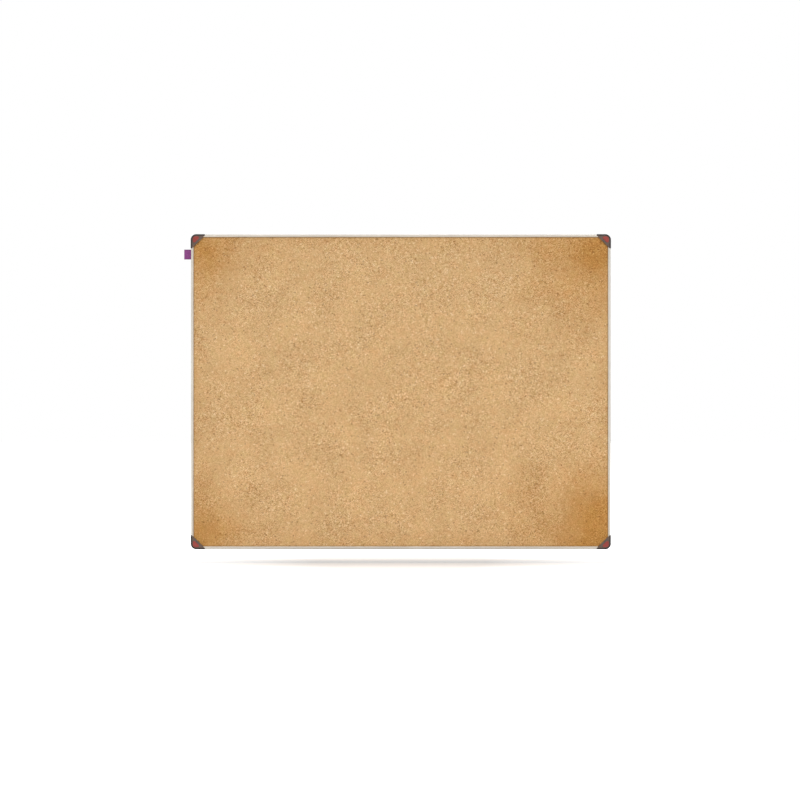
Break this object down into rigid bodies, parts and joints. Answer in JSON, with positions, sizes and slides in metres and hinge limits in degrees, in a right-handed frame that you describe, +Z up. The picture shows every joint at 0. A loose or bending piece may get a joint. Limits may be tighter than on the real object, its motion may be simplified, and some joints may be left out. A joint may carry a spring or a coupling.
{
  "type": "cork bulletin board",
  "caption": "Rectangular cork bulletin board in a slim aluminium frame with moulded corners; snap-in covers hide the wall screws.",
  "frame": {"origin": "on the wall plane, at the centre of the four wall screw holes", "axes": "+X to the right and +Z up as a reader sees the board, +Y out of its back into the wall; the cork faces -Y"},
  "size_m": [1.2202, 0.0208, 0.9],
  "materials": {
    "anodised_aluminium": "satin silver anodised, fine lines along its length",
    "cork": "sanded fine-grain cork, matte",
    "softboard": "pressed wood fibre, matte",
    "kraft_liner": "brown kraft paper, matte",
    "corner_plastic": "fine moulded texture",
    "cover_plastic": "smooth moulded, semi-gloss",
    "zinc_steel": "zinc plated",
    "woven_ribbon": "fine damask weave, plain"
  },
  "bodies": {
    "board": {"rail_top": "anodised_aluminium", "rail_bottom": "anodised_aluminium", "stile_left": "anodised_aluminium", "stile_right": "anodised_aluminium", "cork_sheet": "cork", "core_board": "softboard", "backing_sheet": "kraft_liner", "corner_screws": "zinc_steel", "label_tag": "woven_ribbon", "corner_bottom_left": "corner_plastic", "corner_bottom_right": "corner_plastic", "corner_top_left": "corner_plastic", "corner_top_right": "corner_plastic"},
    "cover_bottom_left": {"screw_cover_bottom_left": "cover_plastic"},
    "cover_bottom_right": {"screw_cover_bottom_right": "cover_plastic"},
    "cover_top_left": {"screw_cover_top_left": "cover_plastic"},
    "cover_top_right": {"screw_cover_top_right": "cover_plastic"}
  },
  "joints": [
    {"name": "cover_bottom_left_pull", "type": "slide", "parent": "board", "child": "cover_bottom_left", "axis": [0, -1, 0], "range_m": [0, 0.015]},
    {"name": "cover_bottom_right_pull", "type": "slide", "parent": "board", "child": "cover_bottom_right", "axis": [0, -1, 0], "range_m": [0, 0.015]},
    {"name": "cover_top_left_pull", "type": "slide", "parent": "board", "child": "cover_top_left", "axis": [0, -1, 0], "range_m": [0, 0.015]},
    {"name": "cover_top_right_pull", "type": "slide", "parent": "board", "child": "cover_top_right", "axis": [0, -1, 0], "range_m": [0, 0.015]}
  ]
}
